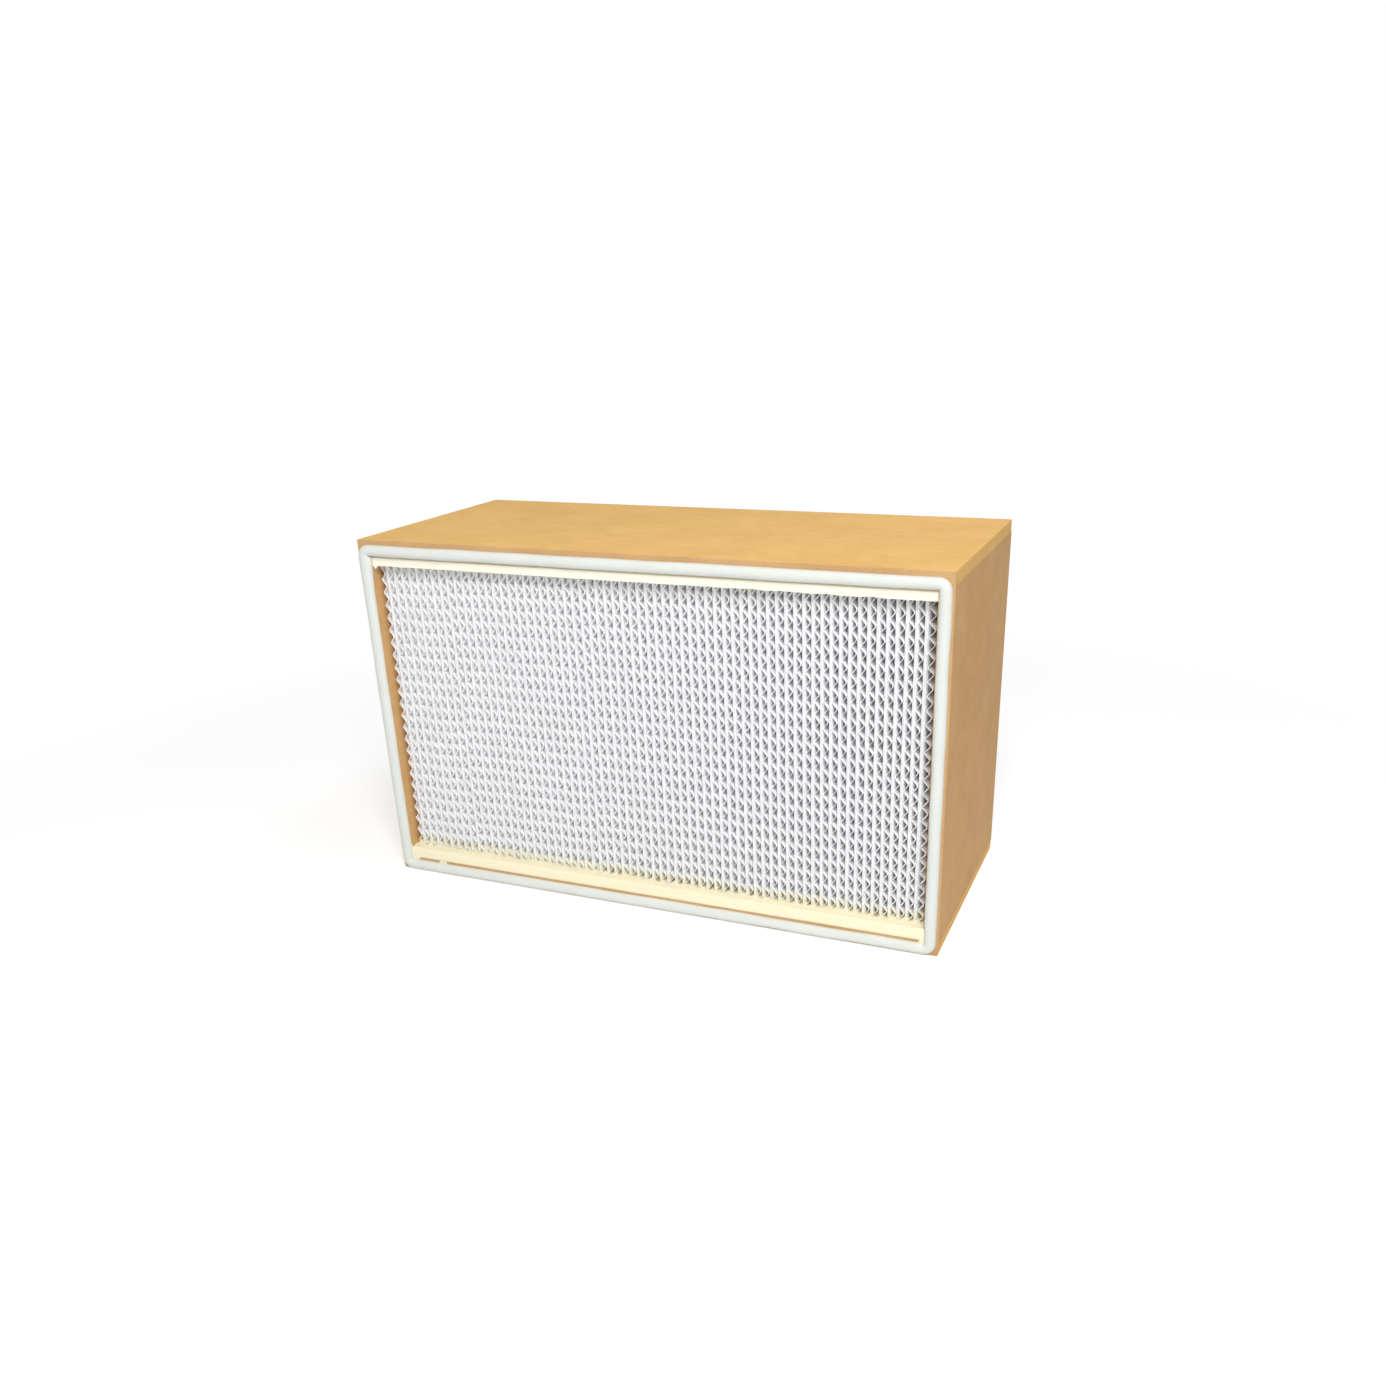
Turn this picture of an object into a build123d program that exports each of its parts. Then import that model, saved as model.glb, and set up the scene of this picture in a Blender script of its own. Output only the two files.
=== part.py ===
from build123d import *
import math
import os

# Deep-pleat HEPA filter panel in a fibreboard box frame, millimetres.
# The panel stands on its bottom board. X is its width, Z its height, and air enters from -Y.
# The origin is under the middle of the whole panel, gasket included.

# Box frame: four boards, the top and bottom ones rebated over the ends of the side ones
FRAME_WIDTH = 508.0
FRAME_HEIGHT = 305.0
FRAME_DEPTH = 216.0
BOARD_THICKNESS = 12.0
REBATE_DEPTH = 3.0
END_SETBACK = 0.5
EDGE_BREAK = 0.4

# Chips knocked out of the top board's right upper edge: distance from the front, and width.
# Their depth is measured on the slant, square in from the edge.
CHIPS = ((15.2, 2.2), (51.5, 2.6))
CHIP_DEPTH = 1.6

# Gasket: a half-round bead foamed in place, a little off centre on the frame's front edge
BEAD_WIDTH = 8.6
BEAD_RISE = 4.3
BEAD_INNER_RADIUS = 0.8
MARGIN_LEFT = 1.5
MARGIN_RIGHT = 3.6
MARGIN_TOP = 4.5
MARGIN_BOTTOM = 1.2

# Potting: how thick it shows below the top board and above the bottom one
TOP_POTTING = 9.0
BOTTOM_POTTING = 12.0
POTTING_SETBACK = 1.0
POTTING_ROUND = 2.0
PACK_SEAT = 4.0
END_STRIP_DEPTH = 7.0

# Media pack: one sheet folded to and fro, with its folds running up and down
PACK_RECESS = 7.5
FOLD_PITCH = 14.9
MEDIA_THICKNESS = 0.5
NOSE_LENGTH = 3.0
NOSE_TAPER = 2.2

# Separators: corrugated sheets, pushed in from the front and from the rear in turn
WAVE_PITCH = 30.0
SEPARATOR_WALL = 0.3
SEPARATOR_CLEARANCE = 0.1
SEPARATOR_INSET = 0.8
SEPARATOR_SHORT = 10.0

# Places that follow from the sizes
FRONT_Y = BEAD_RISE - (FRAME_DEPTH + BEAD_RISE) / 2
BACK_Y = FRONT_Y + FRAME_DEPTH
OPENING_WIDTH = FRAME_WIDTH - 2 * BOARD_THICKNESS
TONGUE_THICKNESS = BOARD_THICKNESS - REBATE_DEPTH
OPENING_FLOOR = BOARD_THICKNESS
OPENING_CEILING = FRAME_HEIGHT - BOARD_THICKNESS
PACK_FRONT = FRONT_Y + PACK_RECESS
PACK_BACK = BACK_Y - PACK_RECESS
PACK_FLOOR = OPENING_FLOOR + BOTTOM_POTTING - PACK_SEAT
PACK_CEILING = OPENING_CEILING - TOP_POTTING + PACK_SEAT
PACK_HEIGHT = PACK_CEILING - PACK_FLOOR

# The sheet's leaves share the opening with one more gap than there are leaves
FOLD_COUNT = round(OPENING_WIDTH / FOLD_PITCH - 0.5)
LEAF_COUNT = 2 * FOLD_COUNT
GAP_WIDTH = (OPENING_WIDTH - LEAF_COUNT * MEDIA_THICKNESS) / (LEAF_COUNT + 1)
LEAF_PITCH = GAP_WIDTH + MEDIA_THICKNESS


def end_board_outline(outer_z, inward):
    """Draw a top or bottom board seen from the front: a full-thickness body between the side
    boards, and a thinner tongue that runs over their ends."""
    with Locations((0, outer_z + inward * TONGUE_THICKNESS / 2)):
        Rectangle(FRAME_WIDTH - 2 * END_SETBACK, TONGUE_THICKNESS)
    with Locations((0, outer_z + inward * BOARD_THICKNESS / 2)):
        Rectangle(OPENING_WIDTH, BOARD_THICKNESS)


with BuildPart() as top_board:
    with BuildSketch(Plane.XZ.offset(-BACK_Y)):
        end_board_outline(FRAME_HEIGHT, -1)
    extrude(amount=FRAME_DEPTH)
    chamfer(top_board.faces().sort_by(Axis.Z)[-1].edges(), EDGE_BREAK)
    for chip_place, chip_width in CHIPS:
        chipped_edge = (FRAME_WIDTH / 2 - END_SETBACK, FRONT_Y + chip_place, FRAME_HEIGHT)
        with Locations(Location(chipped_edge, (0, 45, 0))):
            Box(4 * CHIP_DEPTH, chip_width, 2 * CHIP_DEPTH, mode=Mode.SUBTRACT)
top_board.part.label = "top_board"

with BuildPart() as bottom_board:
    with BuildSketch(Plane.XZ.offset(-BACK_Y)):
        end_board_outline(0, 1)
    extrude(amount=FRAME_DEPTH)
    chamfer(bottom_board.faces().sort_by(Axis.Z)[0].edges(), EDGE_BREAK)
bottom_board.part.label = "bottom_board"

# Side boards: plain, square ended, with their outer face's edges broken
SIDE_LENGTH = FRAME_HEIGHT - 2 * TONGUE_THICKNESS
SIDE_CENTRE_X = (FRAME_WIDTH - BOARD_THICKNESS) / 2

with BuildPart() as left_board:
    with BuildSketch(Plane.XZ.offset(-BACK_Y)):
        with Locations((-SIDE_CENTRE_X, FRAME_HEIGHT / 2)):
            Rectangle(BOARD_THICKNESS, SIDE_LENGTH)
    extrude(amount=FRAME_DEPTH)
    chamfer(left_board.faces().sort_by(Axis.X)[0].edges(), EDGE_BREAK)
left_board.part.label = "left_board"

with BuildPart() as right_board:
    with BuildSketch(Plane.XZ.offset(-BACK_Y)):
        with Locations((SIDE_CENTRE_X, FRAME_HEIGHT / 2)):
            Rectangle(BOARD_THICKNESS, SIDE_LENGTH)
    extrude(amount=FRAME_DEPTH)
    chamfer(right_board.faces().sort_by(Axis.X)[-1].edges(), EDGE_BREAK)
right_board.part.label = "right_board"

# Gasket: a half-round section carried round a rounded rectangle on the frame's front face
HALF_BEAD = BEAD_WIDTH / 2
BEAD_LEFT = -FRAME_WIDTH / 2 + MARGIN_LEFT + HALF_BEAD
BEAD_RIGHT = FRAME_WIDTH / 2 - MARGIN_RIGHT - HALF_BEAD
BEAD_LOW = MARGIN_BOTTOM + HALF_BEAD
BEAD_HIGH = FRAME_HEIGHT - MARGIN_TOP - HALF_BEAD

with BuildPart() as gasket:
    with BuildLine(Plane.XZ.offset(-FRONT_Y)) as bead_path:
        FilletPolyline(
            (BEAD_LEFT, BEAD_LOW),
            (BEAD_RIGHT, BEAD_LOW),
            (BEAD_RIGHT, BEAD_HIGH),
            (BEAD_LEFT, BEAD_HIGH),
            radius=BEAD_INNER_RADIUS + HALF_BEAD,
            close=True,
        )
    bead_start = bead_path.line @ 0
    bead_heading = bead_path.line % 0
    with BuildSketch(Plane(origin=bead_start, x_dir=(0, -1, 0), z_dir=bead_heading)):
        with BuildLine():
            ThreePointArc((0, -HALF_BEAD), (BEAD_RISE, 0), (0, HALF_BEAD))
            Line((0, HALF_BEAD), (0, -HALF_BEAD))
        make_face()
    sweep(path=bead_path.line)
gasket.part.label = "gasket"


def potting_section(board_z, inward, thickness, front_setback):
    """Draw a potting slab seen from the side: a floor on the board, with a lip before and a lip
    behind the pack that stand over the pack's end."""
    front = FRONT_Y + front_setback
    back = BACK_Y - POTTING_SETBACK
    pack_side = board_z + inward * thickness
    with Locations(((front + back) / 2, board_z + inward * thickness / 2)):
        outer = Rectangle(back - front, thickness)
    fillet(outer.vertices().sort_by(lambda corner: abs(corner.Y - pack_side))[:2], POTTING_ROUND)
    with Locations(((PACK_FRONT + PACK_BACK) / 2, pack_side - inward * PACK_SEAT / 2)):
        Rectangle(PACK_BACK - PACK_FRONT, PACK_SEAT, mode=Mode.SUBTRACT)


with BuildPart() as top_sealant:
    with BuildSketch(Plane.YZ.offset(-OPENING_WIDTH / 2)):
        potting_section(OPENING_CEILING, -1, TOP_POTTING, POTTING_SETBACK)
    extrude(amount=OPENING_WIDTH)
top_sealant.part.label = "top_sealant"

with BuildPart() as bottom_sealant:
    with BuildSketch(Plane.YZ.offset(-OPENING_WIDTH / 2)):
        potting_section(OPENING_FLOOR, 1, BOTTOM_POTTING, 0)
    extrude(amount=OPENING_WIDTH)
bottom_sealant.part.label = "bottom_sealant"

# End strips: they close the gap between the sheet's free ends and the side boards
STRIP_CENTRE_X = (OPENING_WIDTH - GAP_WIDTH) / 2
STRIP_CENTRE_Y = PACK_BACK - END_STRIP_DEPTH / 2

with BuildPart() as left_sealant:
    with BuildSketch(Plane.XY.offset(PACK_FLOOR)):
        with Locations((-STRIP_CENTRE_X, STRIP_CENTRE_Y)):
            Rectangle(GAP_WIDTH, END_STRIP_DEPTH)
    extrude(amount=PACK_HEIGHT)
left_sealant.part.label = "left_sealant"

with BuildPart() as right_sealant:
    with BuildSketch(Plane.XY.offset(PACK_FLOOR)):
        with Locations((STRIP_CENTRE_X, STRIP_CENTRE_Y)):
            Rectangle(GAP_WIDTH, END_STRIP_DEPTH)
    extrude(amount=PACK_HEIGHT)
right_sealant.part.label = "right_sealant"


def fold_line():
    """Points along the middle of the sheet seen from above. Each leaf runs from one side to the
    other, and each nose is three flats that bring two leaves together."""
    points = []
    first_x = -OPENING_WIDTH / 2 + GAP_WIDTH + MEDIA_THICKNESS / 2
    front = PACK_FRONT + MEDIA_THICKNESS / 2
    back = PACK_BACK - MEDIA_THICKNESS / 2
    for leaf in range(LEAF_COUNT):
        x = first_x + leaf * LEAF_PITCH
        start, end, heading = (back, front, -1) if leaf % 2 == 0 else (front, back, 1)
        nose_in = [(x - NOSE_TAPER, start), (x, start + heading * NOSE_LENGTH)]
        nose_out = [(x, end - heading * NOSE_LENGTH), (x + NOSE_TAPER, end)]
        points += nose_in if leaf > 0 else [(x, PACK_BACK)]
        points += nose_out if leaf < LEAF_COUNT - 1 else [(x, PACK_BACK)]
    return points


def mitred_strip(points, thickness):
    """Outline of a folded strip: its line moved half the thickness to each side, with each
    corner on the bisector of the two runs that meet there."""
    line = [Vector(*point) for point in points]
    runs = [(b - a).normalized() for a, b in zip(line, line[1:])]
    one_side = []
    other_side = []
    for place, before, after in zip(line, runs[:1] + runs, runs + runs[-1:]):
        across = Vector(-before.Y - after.Y, before.X + after.X).normalized()
        normal = Vector(-before.Y, before.X)
        reach = across * (thickness / 2 / across.dot(normal))
        one_side.append(place + reach)
        other_side.append(place - reach)
    return one_side + other_side[::-1]


with BuildPart() as media_pack:
    with BuildSketch(Plane.XY.offset(PACK_FLOOR)):
        with BuildLine():
            Polyline(*mitred_strip(fold_line(), MEDIA_THICKNESS), close=True)
        make_face()
    extrude(amount=PACK_HEIGHT)
media_pack.part.label = "media_pack"

# Corrugated sheet seen from the front: a zigzag that nearly touches the leaves on both sides
WAVE_COUNT = round(PACK_HEIGHT / WAVE_PITCH)
HALF_WAVE = PACK_HEIGHT / WAVE_COUNT / 2
SHEET_SPAN = GAP_WIDTH - 2 * SEPARATOR_CLEARANCE
SHEET_WALL_ACROSS = SEPARATOR_WALL * math.hypot(HALF_WAVE, SHEET_SPAN) / HALF_WAVE
CREST = (SHEET_SPAN - SHEET_WALL_ACROSS) / 2


def corrugated_outline():
    """Closed outline of one sheet's section: the zigzag moved half its wall to each side."""
    crests = [(-1) ** step * CREST for step in range(2 * WAVE_COUNT + 1)]
    heights = [PACK_FLOOR + step * HALF_WAVE for step in range(2 * WAVE_COUNT + 1)]
    left_side = [(x - SHEET_WALL_ACROSS / 2, z) for x, z in zip(crests, heights)]
    right_side = [(x + SHEET_WALL_ACROSS / 2, z) for x, z in zip(crests, heights)]
    return left_side + right_side[::-1]


with BuildSketch() as corrugation:
    with BuildLine():
        Polyline(*corrugated_outline(), close=True)
    make_face()


def gap_places(first_gap):
    """Middle of every second gap between the leaves, starting at the given gap."""
    gaps = range(first_gap, LEAF_COUNT + 1, 2)
    return [(-OPENING_WIDTH / 2 + GAP_WIDTH / 2 + gap * LEAF_PITCH, 0) for gap in gaps]


SEPARATOR_DEPTH = PACK_BACK - PACK_FRONT - SEPARATOR_INSET - SEPARATOR_SHORT

with BuildPart() as front_separators:
    with BuildSketch(Plane.XZ.offset(-(PACK_BACK - SEPARATOR_SHORT))):
        with Locations(*gap_places(0)):
            add(corrugation.sketch)
    extrude(amount=SEPARATOR_DEPTH)
front_separators.part.label = "front_separators"

with BuildPart() as rear_separators:
    with BuildSketch(Plane.XZ.offset(-(PACK_BACK - SEPARATOR_INSET))):
        with Locations(*gap_places(1)):
            add(corrugation.sketch)
    extrude(amount=SEPARATOR_DEPTH)
rear_separators.part.label = "rear_separators"

os.makedirs("parts", exist_ok=True)
export_step(top_board.part, "parts/top_board.step")
export_step(bottom_board.part, "parts/bottom_board.step")
export_step(left_board.part, "parts/left_board.step")
export_step(right_board.part, "parts/right_board.step")
export_step(gasket.part, "parts/gasket.step")
export_step(top_sealant.part, "parts/top_sealant.step")
export_step(bottom_sealant.part, "parts/bottom_sealant.step")
export_step(left_sealant.part, "parts/left_sealant.step")
export_step(right_sealant.part, "parts/right_sealant.step")
export_step(media_pack.part, "parts/media_pack.step")
export_step(front_separators.part, "parts/front_separators.step")
export_step(rear_separators.part, "parts/rear_separators.step")
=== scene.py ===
import bpy
import math
import numpy as np
from mathutils import Matrix, Vector

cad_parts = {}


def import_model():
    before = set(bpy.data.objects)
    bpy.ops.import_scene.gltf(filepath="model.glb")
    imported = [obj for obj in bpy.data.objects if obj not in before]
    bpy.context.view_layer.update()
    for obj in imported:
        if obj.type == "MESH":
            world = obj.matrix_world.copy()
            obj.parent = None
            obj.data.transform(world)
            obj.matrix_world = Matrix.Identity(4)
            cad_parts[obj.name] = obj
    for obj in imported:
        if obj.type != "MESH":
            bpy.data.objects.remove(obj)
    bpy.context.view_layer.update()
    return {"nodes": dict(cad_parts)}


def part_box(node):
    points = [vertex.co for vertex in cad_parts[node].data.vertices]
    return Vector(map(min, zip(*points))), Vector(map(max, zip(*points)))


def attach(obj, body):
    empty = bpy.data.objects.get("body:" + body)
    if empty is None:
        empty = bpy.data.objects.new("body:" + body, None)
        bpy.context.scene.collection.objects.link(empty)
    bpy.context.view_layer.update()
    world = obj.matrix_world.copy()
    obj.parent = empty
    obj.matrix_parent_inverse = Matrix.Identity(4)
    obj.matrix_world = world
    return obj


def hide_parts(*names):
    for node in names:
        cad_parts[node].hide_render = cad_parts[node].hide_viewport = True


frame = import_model()

MM = 0.001

# Sizes of the pack, millimetres
PACK_RECESS = 7.5
MEDIA_THICKNESS = 0.45
NOSE_BACK = 2.0
PINCH = 0.5
PINCH_LENGTH = 12.0
LEFT_WALL_GAP = 5.1
RIGHT_WALL_GAP = 8.1
WAVE_PITCH = 11.07
SEPARATOR_THICKNESS = 0.36
SEPARATOR_BACK = 1.2
SEPARATOR_SHORT = 8.0
HEM_LENGTH = 3.0
EDGE_SCATTER = 0.3

# How far the loose sheets at the two walls reach from the leaf beside them, millimetres
LEFT_SHEET_FAR = 3.0
RIGHT_SHEET_NEAR = 0.9
RIGHT_SHEET_FAR = 4.6

# Numbers without a unit: the folds, how much closer they crowd to the right, how many times
# thicker a separator is at its rolled edge, and the scatter of its waves from sheet to sheet
FOLD_COUNT = 65
CROWDING = 0.024
HEM_TIMES = 1.6
PITCH_SCATTER = 0.0008
PHASE_SCATTER = 0.03
PHASE_CREEP = 0.0006
SLANT_SCATTER = 0.003

# Sizes of the bead, and the height up its left side at which it swells, millimetres
BEAD_HALF = 4.3
BEAD_TURN = 5.1
BEAD_WIDTH = 9.2
BEAD_RISE = 4.1
SWELL_HEIGHT = 288
SWELL_REACH = 16


def node_box(name):
    """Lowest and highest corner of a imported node, in millimetres."""
    low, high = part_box(name)
    return np.array(low) / MM, np.array(high) / MM


# Places read from the frame, millimetres
top_low, top_high = node_box("top_board")
left_low, left_high = node_box("left_board")
right_low, right_high = node_box("right_board")
bead_low, bead_high = node_box("gasket")
FRONT_Y = top_low[1]
BACK_Y = top_high[1]
FRAME_LEFT = left_low[0]
FRAME_RIGHT = right_high[0]
BEAD_FLOOR = bead_low[2]
OPENING_LEFT = left_high[0]
OPENING_RIGHT = right_low[0]
PACK_FRONT = FRONT_Y + PACK_RECESS
PACK_BACK = BACK_Y - PACK_RECESS
pack_low, pack_high = node_box("media_pack")
PACK_FLOOR = pack_low[2]
PACK_CEILING = pack_high[2]

# The pack's leaves: how many, and where the first and the last one stand
LEAF_COUNT = 2 * FOLD_COUNT
FIRST_LEAF = OPENING_LEFT + LEFT_WALL_GAP
LAST_LEAF = OPENING_RIGHT - RIGHT_WALL_GAP


# Mesh and noise helpers


def grid_faces(rows, columns, wrap_rows=False, wrap_columns=False):
    """Quads of a grid of points, row by row, closed round in either direction if asked."""
    row = np.arange(rows if wrap_rows else rows - 1)
    column = np.arange(columns if wrap_columns else columns - 1)
    row, column = np.meshgrid(row, column, indexing="ij")
    next_row = (row + 1) % rows
    next_column = (column + 1) % columns
    corners = [(row, column), (row, next_column), (next_row, next_column), (next_row, column)]
    return np.stack([r * columns + c for r, c in corners], axis=-1).reshape(-1, 4)


def border(rows, columns):
    """Numbers of a grid's outer points, in order round it."""
    first = np.arange(columns - 1)
    right = np.arange(rows - 1) * columns + columns - 1
    last = (rows - 1) * columns + np.arange(columns - 1, 0, -1)
    left = np.arange(rows - 1, 0, -1) * columns
    return np.concatenate([first, right, last, left])


def end_strip_faces(rows, columns):
    """Close the two ends of a loop made of one line out and the same line back."""
    half = columns // 2
    out = np.arange(half - 1)
    back = columns - 1 - out
    last = (rows - 1) * columns
    bottom = np.stack([out + 1, out, back, back - 1], axis=-1)
    top = np.stack([last + out, last + out + 1, last + back - 1, last + back], axis=-1)
    return np.concatenate([bottom, top])


def shell(one, other):
    """Points and faces of a closed piece: two grids of points side by side, and walls that join
    their borders. The faces point outwards for one order of the grids and inwards for the other."""
    rows, columns, _ = one.shape
    count = rows * columns
    sheet = grid_faces(rows, columns)
    rim = border(rows, columns)
    following = np.roll(rim, -1)
    walls = np.stack([rim, following, following + count, rim + count], axis=-1)
    points = np.concatenate([one.reshape(-1, 3), other.reshape(-1, 3)])
    return points, np.concatenate([sheet[:, ::-1], sheet + count, walls])


def mesh_piece(name, points, faces, smooth=True):
    """Make an object from points in millimetres and an array of quads."""
    mesh = bpy.data.meshes.new(name)
    points = np.asarray(points, dtype=np.float64).reshape(-1, 3) * MM
    faces = np.asarray(faces, dtype=np.int32)
    mesh.vertices.add(len(points))
    mesh.vertices.foreach_set("co", points.ravel())
    mesh.loops.add(faces.size)
    mesh.loops.foreach_set("vertex_index", faces.ravel())
    mesh.polygons.add(len(faces))
    mesh.polygons.foreach_set("loop_start", np.arange(0, faces.size, 4, dtype=np.int32))
    mesh.polygons.foreach_set("use_smooth", np.full(len(faces), smooth))
    mesh.update(calc_edges=True)
    mesh.validate()
    piece = bpy.data.objects.new(name, mesh)
    bpy.context.scene.collection.objects.link(piece)
    return piece


def wander(length_mm, seed, *places):
    """Smooth noise about -1 to 1: a sum of eight sine waves of random heading and phase whose
    wavelength is near the given length."""
    random = np.random.default_rng(seed)
    waves = 8
    total = 0.0
    for _ in range(waves):
        phase = random.uniform(0, 2 * math.pi)
        heading = random.normal(size=len(places))
        heading *= random.uniform(0.6, 1.6) / np.linalg.norm(heading)
        turns = sum(h * place for h, place in zip(heading, places)) / length_mm
        total = total + np.sin(2 * math.pi * turns + phase)
    return total / (waves / 2)


def smoothstep(low, high, value):
    """Zero below low, one above high, and a smooth ramp between."""
    t = np.clip((value - low) / (high - low), 0, 1)
    return t * t * (3 - 2 * t)


# Material helpers


def linear(hex_colour):
    """sRGB hex to a linear RGBA colour."""
    srgb = [int(hex_colour[i : i + 2], 16) / 255 for i in (1, 3, 5)]
    return tuple(c / 12.92 if c <= 0.04045 else ((c + 0.055) / 1.055) ** 2.4 for c in srgb) + (1.0,)


def add_node(tree, kind, inputs=None, **settings):
    """Add a shader node, set its properties, set or link its inputs, and return its outputs."""
    made = tree.nodes.new("ShaderNode" + kind)
    for name, value in settings.items():
        setattr(made, name, value)
    for name, value in (inputs or {}).items():
        if isinstance(value, bpy.types.NodeSocket):
            tree.links.new(value, made.inputs[name])
        else:
            made.inputs[name].default_value = value
    return made.outputs


def new_material(name, **sockets):
    """A material with its shader, whose even values are set on the shader itself."""
    material = bpy.data.materials.new(name)
    material.use_nodes = True
    tree = material.node_tree
    shader = tree.nodes["Principled BSDF"]
    for socket, value in sockets.items():
        shader.inputs[socket.replace("_", " ")].default_value = value
    return material, tree, shader.inputs


# Materials


def fibreboard(name, face, cut, grain, marks=()):
    """MDF, pressed flat, sawn to size and left bare. Its faces are a matt, even tan with faint
    cloudy patches, 40 and 9 mm across, and short fibres 1.6 mm wide pressed in along the grain.
    Its sawn edges show the open core, which is duller. Marks are small dark spots painted into the
    colour; those at the chips are painted shade."""
    material, tree, shader = new_material(name, Roughness=0.7, Specular_IOR_Level=0.12)
    place = add_node(tree, "TexCoord")["Object"]
    clouds = add_node(tree, "TexNoise", {"Vector": place, "Scale": 1 / (40 * MM), "Detail": 3.0})["Fac"]
    patches = add_node(tree, "TexNoise", {"Vector": place, "Scale": 1 / (9 * MM), "Detail": 2.0})["Fac"]
    along = add_node(tree, "Mapping", {"Vector": place, "Scale": grain})["Vector"]
    fibre_look = {"Vector": along, "Scale": 1 / (1.6 * MM), "Detail": 3.0}
    fibre_look |= {"Roughness": 0.7, "Distortion": 0.4}
    fibres = add_node(tree, "TexNoise", fibre_look)["Fac"]
    cloud_share, patch_share, fibre_share, darker = 1.4, 0.8, 1.0, -1.1
    tone = add_node(tree, "Math", {0: clouds, 1: cloud_share, 2: darker}, operation="MULTIPLY_ADD")[0]
    tone = add_node(tree, "Math", {0: patches, 1: patch_share, 2: tone}, operation="MULTIPLY_ADD")[0]
    last_share = {0: fibres, 1: fibre_share, 2: tone}
    tone = add_node(tree, "Math", last_share, operation="MULTIPLY_ADD", use_clamp=True)[0]
    face_tones = {0: tone, 6: linear(face[1]), 7: linear(face[0])}
    face_colour = add_node(tree, "Mix", face_tones, data_type="RGBA")[2]
    cut_tones = {0: tone, 6: linear(cut[1]), 7: linear(cut[0])}
    cut_colour = add_node(tree, "Mix", cut_tones, data_type="RGBA")[2]
    depth = add_node(tree, "SeparateXYZ", {0: place})["Y"]
    middle = (FRONT_Y + BACK_Y) / 2 * MM
    from_middle = add_node(tree, "Math", {0: depth, 1: middle}, operation="SUBTRACT")[0]
    from_middle = add_node(tree, "Math", {0: from_middle}, operation="ABSOLUTE")[0]
    half_depth = (BACK_Y - FRONT_Y) / 2 * MM
    at_cut = {"Value": from_middle, "From Min": half_depth - 0.7 * MM, "From Max": half_depth - 0.3 * MM}
    on_cut = add_node(tree, "MapRange", at_cut)["Result"]
    colour = add_node(tree, "Mix", {0: on_cut, 6: face_colour, 7: cut_colour}, data_type="RGBA")[2]
    # Each mark darkens the colour towards its middle; the marks at the chips are painted shade
    for centre, reach, shade in marks:
        spot, shrink = np.array(centre) * MM, 1 / (np.array(reach) * MM)
        away = add_node(tree, "VectorMath", {0: place, 1: spot}, operation="SUBTRACT")[0]
        away = add_node(tree, "VectorMath", {0: away, 1: shrink}, operation="MULTIPLY")[0]
        away = add_node(tree, "VectorMath", {0: away}, operation="LENGTH")["Value"]
        fade = {"Value": away, "From Min": 1.0, "From Max": 0.3, "To Max": shade}
        inside = add_node(tree, "MapRange", fade)[0]
        colour = add_node(tree, "Mix", {0: inside, 6: colour, 7: linear(SPOT_AND_CHIP_SHADE)}, data_type="RGBA")[2]
    tree.links.new(colour, shader["Base Color"])
    bump = add_node(tree, "Bump", {"Height": fibres, "Distance": 0.12 * MM, "Strength": 0.5})[0]
    tree.links.new(bump, shader["Normal"])
    return material


def foam_gasket():
    """Polyurethane foam, poured as a bead and left to skin over: white and soft, with slow
    swells 25 mm long and a dull sheen along its crest."""
    name = "skinned polyurethane foam"
    material, tree, shader = new_material(name, Roughness=0.42, Specular_IOR_Level=0.4)
    place = add_node(tree, "TexCoord")["Object"]
    swells = add_node(tree, "TexNoise", {"Vector": place, "Scale": 1 / (25 * MM), "Detail": 2.0})["Fac"]
    colours = {0: swells, 6: linear("#cfd2cb"), 7: linear("#d8dbd6")}
    colour = add_node(tree, "Mix", colours, data_type="RGBA")[2]
    tree.links.new(colour, shader["Base Color"])
    skin = add_node(tree, "TexNoise", {"Vector": place, "Scale": 1 / (5 * MM), "Detail": 2.0})["Fac"]
    bump = add_node(tree, "Bump", {"Height": skin, "Distance": 0.1 * MM, "Strength": 0.3})[0]
    tree.links.new(bump, shader["Normal"])
    return material


def pack_paper(name, light, dark):
    """Wet-laid glass-fibre paper or coated separator paper, cold white and fully matt, mottled
    every 2.5 mm. Cream resin is drawn up into its bottom edge, to an uneven height."""
    material, tree, shader = new_material(
        name, Roughness=0.9, Specular_IOR_Level=0.2, Subsurface_Weight=1.0, Subsurface_Scale=1.5 * MM
    )
    shader["Subsurface Radius"].default_value = (1.0, 1.0, 1.0)
    place = add_node(tree, "TexCoord")["Object"]
    mottle = add_node(tree, "TexNoise", {"Vector": place, "Scale": 1 / (2.5 * MM), "Detail": 3.0})["Fac"]
    paper = add_node(tree, "Mix", {0: mottle, 6: linear(dark), 7: linear(light)}, data_type="RGBA")[2]
    height = add_node(tree, "SeparateXYZ", {0: place})["Z"]
    ragged = add_node(tree, "TexNoise", {"Vector": place, "Scale": 1 / (5 * MM), "Detail": 3.0})["Fac"]
    level = add_node(tree, "Math", {0: ragged, 1: 9 * MM, 2: height}, operation="MULTIPLY_ADD")[0]
    soaked_over = {"Value": level, "From Min": 34 * MM, "From Max": 37 * MM, "To Min": 1.0, "To Max": 0.0}
    soaked = add_node(tree, "MapRange", soaked_over)["Result"]
    colour = add_node(tree, "Mix", {0: soaked, 6: paper, 7: linear("#f6f2de")}, data_type="RGBA")[2]
    tree.links.new(colour, shader["Base Color"])
    fibres = add_node(tree, "TexNoise", {"Vector": place, "Scale": 1 / (0.9 * MM), "Detail": 2.0})["Fac"]
    bump = add_node(tree, "Bump", {"Height": fibres, "Distance": 0.05 * MM, "Strength": 0.5})[0]
    tree.links.new(bump, shader["Normal"])
    return material


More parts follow.
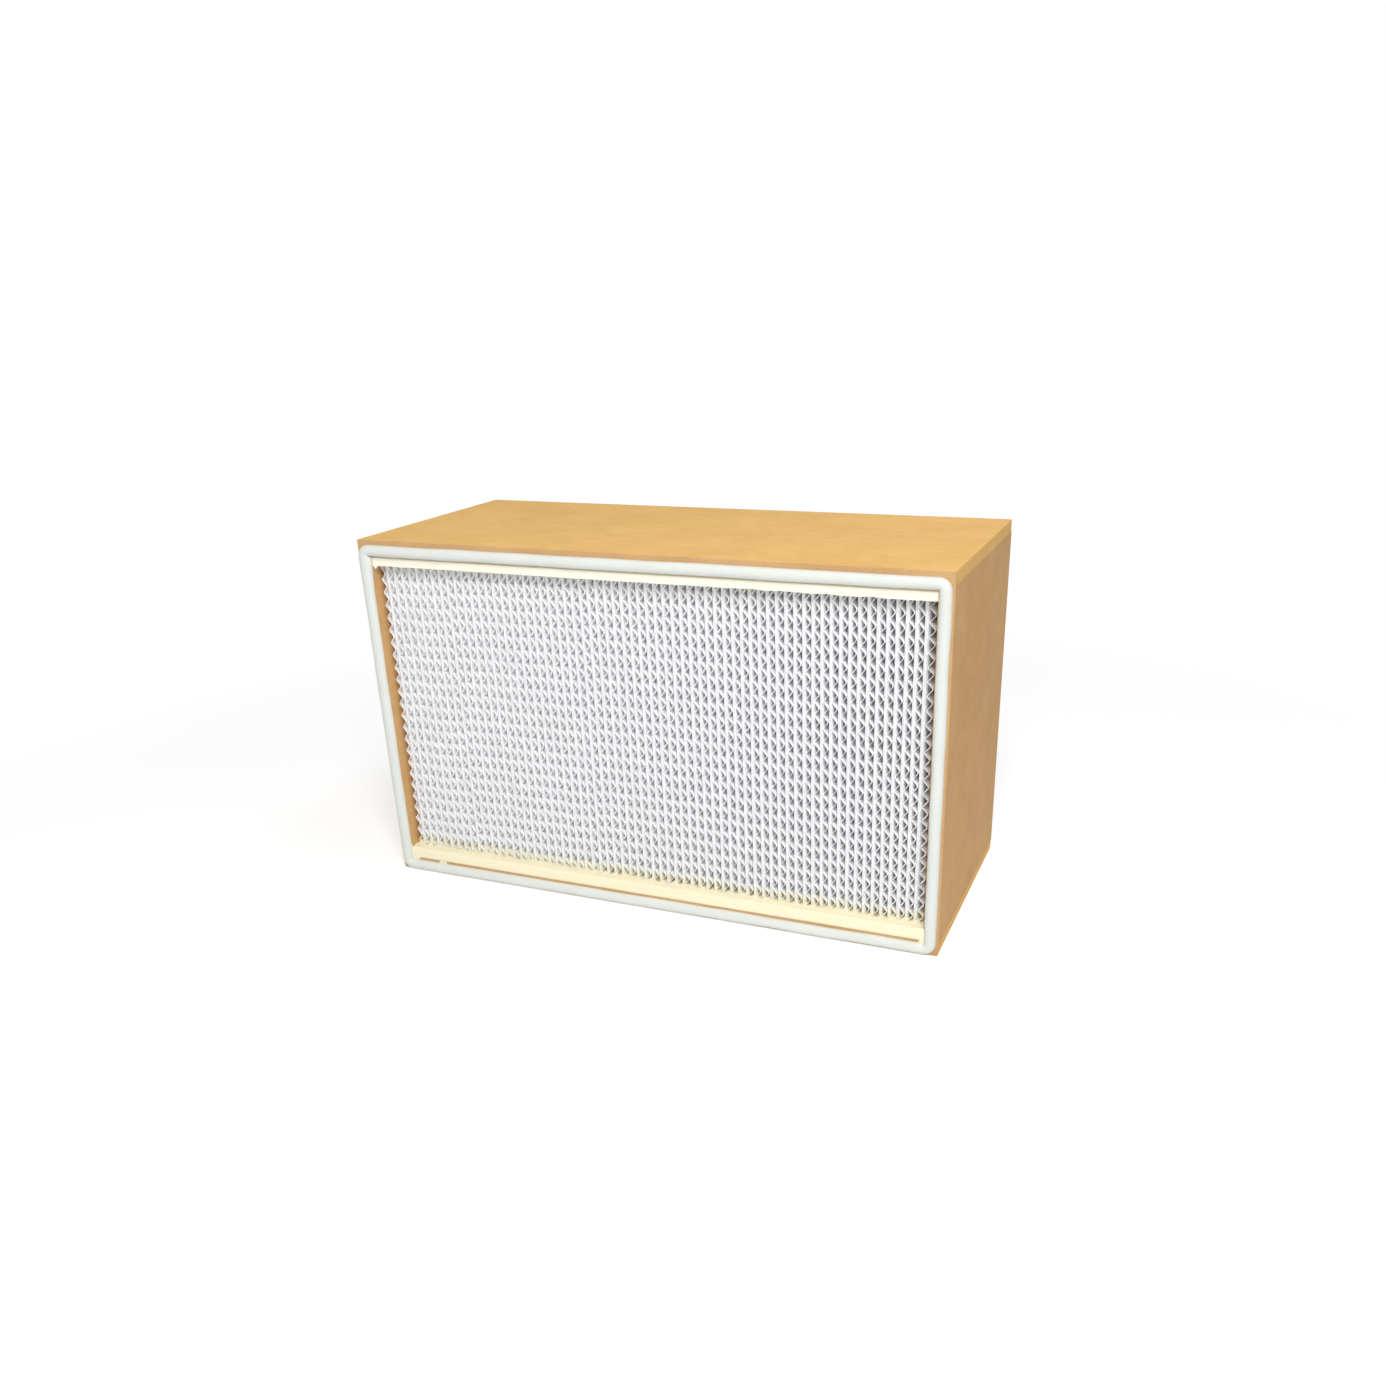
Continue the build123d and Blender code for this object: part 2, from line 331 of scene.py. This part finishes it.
def poured_resin(name, light, dark):
    """Two-part polyurethane, poured round the pack's ends and cured: ivory, smooth, with a soft
    gloss and slow streaks 5 mm high that run along the board."""
    material, tree, shader = new_material(name, Roughness=0.4, Specular_IOR_Level=0.45)
    place = add_node(tree, "TexCoord")["Object"]
    along = add_node(tree, "Mapping", {"Vector": place, "Scale": (0.25, 1.0, 1.0)})["Vector"]
    streaks = add_node(tree, "TexNoise", {"Vector": along, "Scale": 1 / (5 * MM), "Detail": 3.0})["Fac"]
    colour = add_node(tree, "Mix", {0: streaks, 6: linear(dark), 7: linear(light)}, data_type="RGBA")[2]
    tree.links.new(colour, shader["Base Color"])
    ripple = add_node(tree, "TexNoise", {"Vector": place, "Scale": 1 / (6 * MM), "Detail": 2.0})["Fac"]
    bump = add_node(tree, "Bump", {"Height": ripple, "Distance": 0.3 * MM, "Strength": 0.4})[0]
    tree.links.new(bump, shader["Normal"])
    return material


# Media pack: one sheet folded to and fro


def leaf_x(leaf):
    """Middle of a leaf halfway down the pack. The leaves crowd a little to the right: their
    pitch falls evenly from one end of the pack to the other."""
    share = leaf / (LEAF_COUNT - 1)
    return FIRST_LEAF + (LAST_LEAF - FIRST_LEAF) * share * (1 + CROWDING * (1 - share))


def media_path():
    """Middle line of the folded sheet seen from above: down each leaf in turn, leaning in to its
    partner towards the fold, and round each fold on a half circle."""
    turn = np.radians([30.0, 60.0, 90.0, 120.0, 150.0])
    nose_front = PACK_FRONT + NOSE_BACK
    nose_back = PACK_BACK - NOSE_BACK
    lean = PINCH * np.array([1.0, 0.5, 0.12, 0.0])
    path = []
    for leaf in range(LEAF_COUNT):
        to_front = leaf % 2 == 0
        radius = (leaf_x(leaf + 1) - leaf_x(leaf)) / 2 - PINCH
        run = radius + PINCH_LENGTH * np.array([0.0, 0.25, 0.6, 1.0])
        y = np.concatenate([nose_front + run, nose_back - run[::-1]])
        side = 1 if to_front else -1
        x = leaf_x(leaf) + side * np.concatenate([lean, -lean[::-1]])
        path.append(np.stack([x, y], axis=1)[:: -side])
        if leaf < LEAF_COUNT - 1:
            nose_x = path[-1][-1, 0] + radius * (1 - np.cos(turn))
            nose_y = path[-1][-1, 1] - side * radius * np.sin(turn)
            path.append(np.stack([nose_x, nose_y], axis=1))
    return np.concatenate(path)


def media_sheet():
    """The folded sheet: its path moved half the paper's thickness to each side, and carried up
    the pack with a slow wander."""
    path = media_path()
    run = np.gradient(path, axis=0)
    run /= np.linalg.norm(run, axis=1, keepdims=True)
    across = np.stack([-run[:, 1], run[:, 0]], axis=1) * MEDIA_THICKNESS / 2
    loop = np.concatenate([path - across, (path + across)[::-1]])
    heights = np.linspace(PACK_FLOOR, PACK_CEILING, 17)
    z, x = np.meshgrid(heights, loop[:, 0], indexing="ij")
    y = np.broadcast_to(loop[:, 1], z.shape)
    sway = 0.12 * wander(70.0, 11, x * 3, z)
    points = np.stack([x + sway, y, z], axis=-1)
    rows, columns = z.shape
    faces = grid_faces(rows, columns, wrap_columns=True)
    return mesh_piece("folded_media", points, np.concatenate([faces, end_strip_faces(rows, columns)]))


# Separators: corrugated sheets between the leaves


def gap_sides(gap):
    """Where a corrugated sheet's crests reach to: the leaves on both sides of it, and at the
    walls as far as it stands loosely in the wider gap there."""
    half_paper = MEDIA_THICKNESS / 2
    if gap == 0:
        return leaf_x(0) - half_paper - LEFT_SHEET_FAR, leaf_x(0) - half_paper
    if gap == LEAF_COUNT:
        last_side = leaf_x(gap - 1) + half_paper
        return last_side + RIGHT_SHEET_NEAR, last_side + RIGHT_SHEET_FAR
    return leaf_x(gap - 1) + half_paper, leaf_x(gap) - half_paper


def separator(gap, random):
    """One corrugated sheet: a zigzag with blunted crests across its gap, carried from its edge
    to short of the far folds. The edge stands proud of the near folds, flares a little and is
    rolled thicker. A sheet keeps one pitch up the pack, has its own phase, and slants slightly."""
    from_front = gap % 2 == 0
    edge = SEPARATOR_BACK + random.uniform(-EDGE_SCATTER, EDGE_SCATTER)
    far_end = PACK_BACK - PACK_FRONT - SEPARATOR_SHORT
    stations = np.array([edge, edge + HEM_LENGTH, edge + PINCH_LENGTH, far_end])
    flare = PINCH * np.array([1.0, 0.7, 0.0, 0.0])
    y = PACK_FRONT + stations if from_front else PACK_BACK - stations
    left, right = gap_sides(gap)
    pitch = WAVE_PITCH * random.normal(1, PITCH_SCATTER)
    phase = phase_of(gap) + random.normal(0, PHASE_SCATTER)
    waves = math.ceil((PACK_CEILING - PACK_FLOOR) / pitch) + 2
    blunt = np.array([-0.07, 0, 0.07, 0.43, 0.5, 0.57])
    reach_at = np.array([0.9, 1.0, 0.9, -0.9, -1.0, -0.9])
    turns = (np.arange(waves)[:, None] + blunt).ravel() - 1
    reach = np.tile(reach_at, waves)
    z = PACK_FLOOR + (turns + phase % 1.0) * pitch
    keep = (z > PACK_FLOOR) & (z < PACK_CEILING)
    z, reach = z[keep], reach[keep]
    z[0], z[-1] = PACK_FLOOR, PACK_CEILING
    slant = random.normal(0, SLANT_SCATTER)
    wall = SEPARATOR_THICKNESS / 2 * np.array([[HEM_TIMES], [1.0], [1.0], [1.0]])
    half = (right - left) / 2 - wall
    grid_x = (right + left) / 2 + (half + flare[:, None]) * reach[None, :]
    grid_y = np.broadcast_to(y[:, None], grid_x.shape)
    inner = (z > z[0]) & (z < z[-1])
    grid_z = z[None, :] + slant * (y - y[0])[:, None] * inner[None, :]
    one = np.stack([grid_x - wall, grid_y, grid_z], axis=-1)
    other = np.stack([grid_x + wall, grid_y, grid_z], axis=-1)
    points, faces = shell(one, other)
    return points, faces[:, ::-1] if from_front else faces


def phase_of(gap):
    """Where a sheet's waves start. The sheets come off the corrugator in bundles that share one
    phase, which creeps a little from sheet to sheet."""
    bundle_starts = (0, 18, 52, 88)
    bundle_phases = (0.10, 0.42, 0.76, 0.66)
    bundle = sum(gap >= start for start in bundle_starts) - 1
    return bundle_phases[bundle] + PHASE_CREEP * gap


def separators(name, first_gap, seed):
    """Every second corrugated sheet, as one piece."""
    random = np.random.default_rng(seed)
    points, faces, count = [], [], 0
    for gap in range(first_gap, LEAF_COUNT + 1, 2):
        sheet_points, sheet_faces = separator(gap, random)
        points.append(sheet_points)
        faces.append(sheet_faces + count)
        count += len(sheet_points)
    return mesh_piece(name, np.concatenate(points), np.concatenate(faces), smooth=False)


# Potting: a slab on each end board, poured round the pack's ends


def slab(name, x, depths, rises, base_z, inward):
    """A closed slab from a profile carried along X: the pack side at the given depths and rises
    over the board, and a flat base on the board with as many points."""
    grid_x = np.broadcast_to(x[:, None], rises.shape)
    outer = np.stack([grid_x, np.broadcast_to(depths, rises.shape), base_z + inward * rises], axis=-1)
    flat = np.linspace(depths[0], depths[-1], len(depths))
    base = np.stack([grid_x, np.broadcast_to(flat, rises.shape), np.full(rises.shape, base_z)], axis=-1)
    points, faces = shell(outer, base)
    return mesh_piece(name, points, faces if inward > 0 else faces[:, ::-1])


def slab_profile(front, back, groove, groove_depth, radius):
    """Depths of a slab's profile, and how far each point lies from its pack side: a groove against
    the board, an upright face, a rounded edge, and the same again at the rear."""
    turn = np.radians([0.0, 22.5, 45.0, 67.5, 90.0])
    groove_in = np.array([groove_depth, 0.4, 0.0, 0.0])
    groove_rise = np.array([0.03, groove, groove + 0.4, groove + 0.8])
    level = np.array([2.8, 4.0, 5.5, 7.0, 8.5, 11.0, 15.0, 22.0])
    depth = np.concatenate([groove_in, radius * (1 - np.cos(turn)), level])
    fall = np.concatenate([np.zeros(len(groove_in)), radius * (1 - np.sin(turn)), np.zeros(len(level))])
    from_board = np.concatenate([groove_rise, np.full(len(turn) + len(level), np.nan)])
    depths = np.concatenate([front + depth, back - depth[::-1]])
    return depths, np.concatenate([fall, fall[::-1]]), np.concatenate([from_board, from_board[::-1]])


def top_potting():
    """The slab under the top board. A dark groove parts it from the board. Its lower edge wanders
    more to the right, and a drip hangs from its left end."""
    low, high = node_box("top_sealant")
    close_together = low[0] + np.linspace(0, 8, 17)
    x = np.concatenate([close_together, np.linspace(low[0] + 10, high[0], 200)])
    depths, fall, from_board = slab_profile(low[1], high[1], groove=2.7, groove_depth=3.5, radius=0.9)
    px, py = np.meshgrid(x, depths, indexing="ij")
    uneven = (0.14 + 0.36 * smoothstep(-60, 180, px)) * wander(26.0, 5, px, py * 0.5)
    drip_length, drip_from_end, drip_reach = 2.6, 2.2, 1.2
    from_drip = (px - low[0] - drip_from_end) / drip_reach
    drip = drip_length * np.exp(-(from_drip**2)) * (1 - smoothstep(2.0, 4.2, py - low[1]))
    fuller = 0.9
    pack_side = high[2] - low[2] + fuller + uneven + drip - fall
    rises = np.where(np.isnan(from_board), pack_side, from_board)
    return slab("top_potting", x, depths, rises, high[2], -1)


def bottom_potting():
    """The slab on the bottom board: flush with the frame's front, nearly level up to the pack,
    and drawn up unevenly between the folds."""
    low, high = node_box("bottom_sealant")
    x = np.linspace(low[0], high[0], 400)
    depths, fall, from_board = slab_profile(low[1], high[1], groove=0.3, groove_depth=0.5, radius=1.3)
    px, py = np.meshgrid(x, depths, indexing="ij")
    inside = np.minimum(py - low[1], high[1] - py)
    body = high[2] - low[2] - 1.7 + 0.9 * smoothstep(2.0, 8.0, inside)
    drawn_up = smoothstep(7.0, 9.5, inside) * 1.2 * wander(9.0, 8, px, py * 0.2)
    uneven = 0.3 * wander(34.0, 7, px, py * 0.5) + drawn_up
    pack_side = body + uneven - fall
    rises = np.where(np.isnan(from_board), pack_side, from_board)
    return slab("bottom_potting", x, depths, rises, low[2], 1)


def smear(centre_x, centre_z, half_width, half_height, seed):
    """A film of resin on the frame's front: rings of points that shrink to the middle, with a
    wavy outline, 0.3 mm thick there and thinning to its edge."""
    ring = np.linspace(0, 2 * math.pi, 33)[:-1]
    share = np.array([1.0, 0.85, 0.6, 0.3, 0.02])
    ragged = 1 + 0.16 * wander(1.6, seed, np.cos(ring), np.sin(ring))
    x = centre_x + half_width * share[:, None] * (ragged * np.cos(ring))[None, :]
    z = centre_z + half_height * share[:, None] * (ragged * np.sin(ring))[None, :]
    film = np.broadcast_to(0.3 * np.sqrt(1 - share[:, None] ** 2), x.shape)
    front = np.stack([x, FRONT_Y - 0.02 - film, z], axis=-1)
    rear = np.stack([x, np.full_like(x, FRONT_Y + 0.05), z], axis=-1)
    return np.concatenate([front, rear[::-1]])


def resin_smears():
    """Films of resin wiped over the bare wood beside the bead, as one piece: three at the bottom
    left, and two at the right board's foot, one of which creeps up it."""
    films = [
        smear(-239.5, 12.6, 4.4, 3.2, 31),
        smear(-243.2, 19.0, 1.6, 6.0, 32),
        smear(-210.3, 10.9, 4.0, 1.7, 33),
        smear(243.3, 15.0, 1.5, 7.5, 34),
        smear(240.6, 11.0, 2.6, 1.9, 35),
    ]
    rows, columns, _ = films[0].shape
    one = grid_faces(rows, columns, wrap_rows=True, wrap_columns=True)
    faces = np.concatenate([one + index * rows * columns for index in range(len(films))])
    return mesh_piece("resin_smears", np.concatenate([film.reshape(-1, 3) for film in films]), faces)


def end_strips():
    """Resin strips that close the gaps between the sheet's free ends and the side boards: a
    bulging front, a hollow back, and the width of each gap."""
    low, high = node_box("left_sealant")
    z = np.linspace(low[2], high[2], 60)
    y_front = low[1] + 0.8 * wander(30.0, 9, z)
    y_back = np.full_like(z, high[1])
    bulge, hollow = 0.7, 0.5
    loop_y = np.stack([y_front, y_front - bulge, y_front, y_back, y_back - hollow, y_back], axis=1)
    rows, columns = loop_y.shape
    pieces = []
    for name, inner, outer in (
        ("left_end_strip", OPENING_LEFT, leaf_x(0)),
        ("right_end_strip", leaf_x(LEAF_COUNT - 1), OPENING_RIGHT),
    ):
        centre = (inner + outer) / 2
        across = np.array([inner, centre, outer, outer, centre, inner])
        loop_x = np.broadcast_to(across, loop_y.shape)
        points = np.stack([loop_x, loop_y, np.broadcast_to(z[:, None], loop_x.shape)], axis=-1)
        faces = grid_faces(rows, columns, wrap_columns=True)
        faces = np.concatenate([faces, end_strip_faces(rows, columns)])
        pieces.append(mesh_piece(name, points, faces))
    return pieces


# Gasket: a half-round bead carried round the front edge


def bead_path():
    """Points and outward directions round a rounded rectangle that lies half a bead inside the
    gasket's own box."""
    left, right = bead_low[0] + BEAD_HALF + BEAD_TURN, bead_high[0] - BEAD_HALF - BEAD_TURN
    low, high = bead_low[2] + BEAD_HALF + BEAD_TURN, bead_high[2] - BEAD_HALF - BEAD_TURN
    corners = ((right, low, -90), (right, high, 0), (left, high, 90), (left, low, 180))
    points, outward = [], []
    for index, (centre_x, centre_z, start) in enumerate(corners):
        angle = np.radians(start + np.linspace(0, 90, 9))
        out = np.stack([np.cos(angle), np.sin(angle)], axis=1)
        points.append(np.array([centre_x, centre_z]) + BEAD_TURN * out)
        outward.append(out)
        run_end = np.array(corners[(index + 1) % 4][:2]) + BEAD_TURN * out[-1]
        steps = int(np.linalg.norm(run_end - points[-1][-1]) / 4)
        share = np.linspace(0, 1, steps + 1)[1:-1, None]
        points.append(points[-1][-1] + share * (run_end - points[-1][-1]))
        outward.append(np.broadcast_to(out[-1], (steps - 1, 2)))
    return np.concatenate(points), np.concatenate(outward)


def bead():
    """The bead: a half ellipse across its path. It is wider up the left side, most of all near
    the upper corner, spreads outwards up the right side, and wanders a little as it was poured."""
    line, out = bead_path()
    place = (line[:, 0], line[:, 1])
    on_left, on_right = np.clip(-out[:, 0], 0, 1), np.clip(out[:, 0], 0, 1)
    from_swell = (line[:, 1] - SWELL_HEIGHT) / SWELL_REACH
    near_corner = on_left * np.exp(-(from_swell**2))
    wider = 1.2 * on_left, 0.3 * on_right, 1.6 * near_corner, 0.3 * wander(60.0, 3, *place)
    width = sum(wider, start=BEAD_WIDTH)
    shift = 1.2 * on_right - 0.8 * near_corner + 0.2 * wander(90.0, 6, *place)
    rise = BEAD_RISE + 0.15 * wander(80.0, 4, *place)
    angle = np.linspace(math.pi, 0, 15)
    across = np.concatenate([np.cos(angle), [0.5, -0.5]])
    forward = np.concatenate([np.sin(angle), [0.0, 0.0]])
    offset = (width[:, None] / 2) * across + shift[:, None]
    x = np.clip(line[:, 0:1] + out[:, 0:1] * offset, FRAME_LEFT, FRAME_RIGHT)
    z = np.clip(line[:, 1:2] + out[:, 1:2] * offset, BEAD_FLOOR, None)
    y = bead_high[1] - np.minimum(rise[:, None] * forward, bead_high[1] - bead_low[1])
    rows, columns = x.shape
    faces = grid_faces(rows, columns, wrap_rows=True, wrap_columns=True)
    return mesh_piece("foam_bead", np.stack([x, y, z], axis=-1), faces)


# Putting it together


def dress(piece, material, slot, *nodes, crease=None):
    """Give a piece its material, body and the nodes that it stands for. The slot is not used."""
    piece.data.materials.append(material)
    if crease is not None:
        piece.data.set_sharp_from_angle(angle=math.radians(crease))
    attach(piece, "root")
    if nodes:
        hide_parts(*nodes)


def recolour(node, material):
    """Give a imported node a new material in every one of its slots."""
    for material_slot in frame["nodes"][node].material_slots:
        material_slot.material = material


# Dark spots on the right side, and painted shade in the chips: centre, reach each way, and how dark
SIDE_MARKS = (((254, 35.4, 240.6), (2, 0.7, 1.6), 0.5), ((254, 28.8, 141.4), (2, 0.8, 0.9), 0.7))
CHIP_SHADE = (((253.5, -90.6, 304), (2.4, 1.3, 2.6), 0.6), ((253.5, -54.3, 304), (2.4, 1.5, 2.6), 0.5))
# Colour of the dark spots and of the painted shade in the chips
SPOT_AND_CHIP_SHADE = "#4f3a22"

# Light and dark of the boards' faces and of their sawn edges, and the run of their fibres, which
# is stretched along the axis whose number is lowest
FLAT = ("#e9bd76", "#dbad66")
# The upright boards' faces are the same MDF painted darker: painted shade for sides facing away from the
# lamps
UPRIGHT_SHADED = ("#d3a975", "#c59a67")
CUT = ("#c8a274", "#b89264")
ALONG_WIDTH = (0.3, 1.0, 1.0)
ALONG_HEIGHT = (1.0, 1.0, 0.3)

board_flat = fibreboard("MDF laid flat", FLAT, CUT, ALONG_WIDTH, CHIP_SHADE)
# The upright boards take the darker copy of the MDF, which is painted shade
board_upright_shaded = fibreboard("MDF on edge, painted shade", UPRIGHT_SHADED, CUT, ALONG_HEIGHT, SIDE_MARKS)
for node in ("top_board", "bottom_board"):
    recolour(node, board_flat)
for node in ("left_board", "right_board"):
    recolour(node, board_upright_shaded)

media_paper = pack_paper("wet-laid glass-fibre paper", "#fcfdff", "#f8fafd")
separator_paper = pack_paper("coated corrugated paper", "#fbfcff", "#f6f8fc")
pale_resin = poured_resin("polyurethane cast from above", "#f3f1e0", "#ece8d3")
warm_resin = poured_resin("polyurethane cast in the tray", "#f0e9cd", "#e5dcb8")

dress(media_sheet(), media_paper, "glass_fibre_paper", "media_pack", crease=50)
dress(separators("front_waves", 0, 21), separator_paper, "separator_sheet", "front_separators")
dress(separators("rear_waves", 1, 22), separator_paper, "separator_sheet", "rear_separators")
dress(top_potting(), pale_resin, "potting", "top_sealant", crease=60)
dress(bottom_potting(), warm_resin, "potting", "bottom_sealant", crease=60)
for strip, node in zip(end_strips(), ("left_sealant", "right_sealant")):
    dress(strip, warm_resin, "potting", node, crease=40)
dress(resin_smears(), warm_resin, "potting", crease=40)
dress(bead(), foam_gasket(), "gasket_foam", "gasket", crease=60)


# Floor, world, lamps and camera

# Strength of the world's white as a light on the object
AMBIENT = 0.3


def seen_rays(tree):
    """One for rays that should see the plain background: camera, glossy and transmission."""
    path = add_node(tree, "LightPath")
    rays = {0: path["Is Camera Ray"], 1: path["Is Glossy Ray"]}
    seen = add_node(tree, "Math", rays, operation="MAXIMUM")[0]
    return add_node(tree, "Math", {0: seen, 1: path["Is Transmission Ray"]}, operation="MAXIMUM")[0]


def floor():
    """A plain pale floor that takes the panel's shadow. For the camera it glows a little, and
    from 0.35 to 0.9 m out it passes into the plain white of the background."""
    reach = 6000.0
    glow_strength = 0.3
    fade_from, fade_to = 0.35, 0.9
    points = np.array([[-reach, -reach, 0], [reach, -reach, 0], [reach, reach, 0], [-reach, reach, 0]])
    piece = mesh_piece("floor", points, np.array([[0, 1, 2, 3]]), smooth=False)
    material = bpy.data.materials.new("white paper sweep")
    material.use_nodes = True
    tree = material.node_tree
    tree.nodes.clear()
    seen = seen_rays(tree)
    matt = add_node(tree, "BsdfDiffuse", {"Color": (0.9, 0.9, 0.9, 1)})[0]
    lift = add_node(tree, "Math", {0: seen, 1: glow_strength}, operation="MULTIPLY")[0]
    glow = add_node(tree, "Emission", {"Strength": lift})[0]
    near = add_node(tree, "AddShader", {0: matt, 1: glow})[0]
    white = add_node(tree, "Emission", {"Strength": 1.0})[0]
    place = add_node(tree, "TexCoord")["Object"]
    distance = add_node(tree, "VectorMath", {0: place}, operation="LENGTH")["Value"]
    fade = {"Value": distance, "From Min": fade_from, "From Max": fade_to}
    far = add_node(tree, "MapRange", fade)["Result"]
    far_seen = add_node(tree, "Math", {0: far, 1: seen}, operation="MULTIPLY")[0]
    surface = add_node(tree, "MixShader", {0: far_seen, 1: near, 2: white})[0]
    add_node(tree, "OutputMaterial", {"Surface": surface})
    piece.data.materials.append(material)


def world():
    """An even white surround for the camera, and a softer one for the light it gives."""
    sky = bpy.data.worlds.new("studio")
    bpy.context.scene.world = sky
    sky.use_nodes = True
    tree = sky.node_tree
    strength = add_node(tree, "MapRange", {"Value": seen_rays(tree), "To Min": AMBIENT})["Result"]
    background = tree.nodes["Background"]
    background.inputs["Color"].default_value = (1, 1, 1, 1)
    tree.links.new(strength, background.inputs["Strength"])


def lamp(name, place, aim, size, energy):
    """A square soft box at a place, in metres, turned to a point, with its power in watts."""
    light = bpy.data.lights.new(name, "AREA")
    light.size = size
    light.energy = energy
    piece = bpy.data.objects.new(name, light)
    bpy.context.scene.collection.objects.link(piece)
    piece.location = place
    piece.rotation_euler = (Vector(aim) - Vector(place)).to_track_quat("-Z", "Y").to_euler()


def camera():
    """The photograph's view: its place, heading, tilt and roll, and the shift that its framing
    needs, all solved from the frame's edges."""
    data = bpy.data.cameras.new("camera")
    piece = bpy.data.objects.new("camera", data)
    bpy.context.scene.collection.objects.link(piece)
    picture = 1386.0
    focal_px, middle_x, middle_y = 1205.9, 725.3, 825.0
    data.sensor_width = 36.0
    data.lens = focal_px / picture * data.sensor_width
    data.shift_x = (picture / 2 - middle_x) / picture
    data.shift_y = (middle_y - picture / 2) / picture
    heading, tilt, roll = (math.radians(angle) for angle in (22.98, 23.73, -1.75))
    turn = Matrix.Rotation(heading, 4, "Z") @ Matrix.Rotation(math.pi / 2 - tilt, 4, "X")
    turn = turn @ Matrix.Rotation(roll, 4, "Z")
    eye = Vector((426.2, -934.6, 484.6)) * MM
    piece.matrix_world = Matrix.Translation(eye) @ turn
    bpy.context.scene.camera = piece


floor()
world()
lamp("key", (0.7, -1.5, 1.85), (0, 0, 0.15), 1.0, 44.0)
lamp("fill", (0.4, -1.6, 0.2), (0, 0, 0.15), 0.8, 5.0)
lamp("top", (0.5, 0.3, 1.4), (0.1, 0, 0.3), 0.6, 2.4)
camera()
bpy.context.scene.view_settings.view_transform = "Standard"
